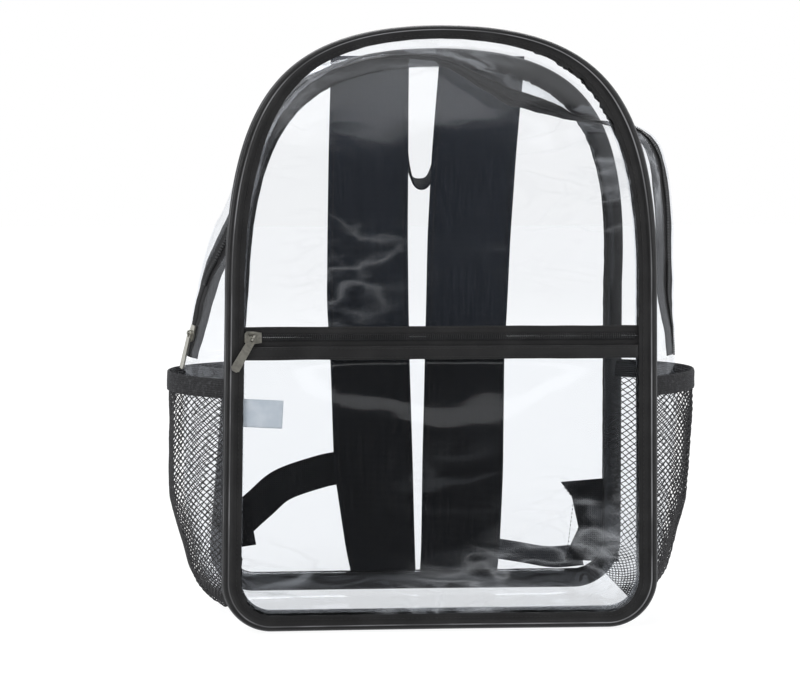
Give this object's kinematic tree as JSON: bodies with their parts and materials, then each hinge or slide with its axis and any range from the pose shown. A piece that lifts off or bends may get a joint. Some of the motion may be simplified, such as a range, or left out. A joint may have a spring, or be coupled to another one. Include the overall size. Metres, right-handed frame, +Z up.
{
  "type": "clear backpack",
  "caption": "Clear vinyl stadium backpack with black bound seams, a zipped front pocket, side net pockets and flat dark shoulder straps, standing upright.",
  "frame": {"origin": "middle of the flat bottom that the bag stands on, halfway between the front and back seams", "axes": "+X to the right as seen from the front, +Y from the front panel towards the straps, +Z up"},
  "size_m": [0.3926, 0.1696, 0.43],
  "materials": {
    "clear_vinyl": "clear soft PVC film with a gloss and a few creases",
    "binding_tape": "near-black folded nylon tape with a slight sheen",
    "zipper_tape": "black woven zipper tape",
    "zipper_coil": "black nylon coil teeth",
    "zipper_metal": "antique gunmetal, worn bright on its edges",
    "net": "black knitted net with small diamond holes",
    "label_cloth": "pale grey-blue sewn label, bare",
    "black_plastic": "black moulded plastic",
    "strap_cloth": "dark slate woven cloth",
    "webbing": "dark slate flat webbing"
  },
  "bodies": {
    "bag": {"front_panel": "clear_vinyl", "back_panel": "clear_vinyl", "front_binding": "binding_tape", "back_binding": "binding_tape", "lower_gusset": "clear_vinyl", "upper_gusset_front": "clear_vinyl", "upper_gusset_back": "clear_vinyl", "main_zipper_tape_front": "zipper_tape", "main_zipper_tape_back": "zipper_tape", "main_zipper_coil": "zipper_coil", "main_slider": "zipper_metal", "pocket_panel": "clear_vinyl", "pocket_zipper_tape_upper": "zipper_tape", "pocket_zipper_tape_lower": "zipper_tape", "pocket_zipper_coil": "zipper_coil", "pocket_top_binding": "binding_tape", "pocket_slider": "zipper_metal", "label": "label_cloth", "side_net_left": "net", "side_net_right": "net", "net_elastic_left": "webbing", "net_elastic_right": "webbing", "shoulder_strap_left": "strap_cloth", "shoulder_strap_right": "strap_cloth", "ladder_lock_left": "black_plastic", "ladder_lock_right": "black_plastic", "strap_wing_left": "webbing", "strap_wing_right": "webbing", "strap_webbing_left": "webbing", "strap_webbing_right": "webbing", "haul_loop": "webbing"},
    "main_pull": {"main_pull": "zipper_metal"},
    "pocket_pull": {"pocket_pull": "zipper_metal"}
  },
  "joints": [
    {"name": "main_pull_hinge", "type": "hinge", "parent": "bag", "child": "main_pull", "pos_m": [-0.17885, 0.00045, 0.20813], "axis": [-0.362, 0.9286, 0.081], "range_deg": [0, 180]},
    {"name": "pocket_pull_hinge", "type": "hinge", "parent": "bag", "child": "pocket_pull", "pos_m": [-0.1337, -0.064, 0.211], "axis": [-0.866, 0, 0.5], "range_deg": [0, 180]}
  ]
}
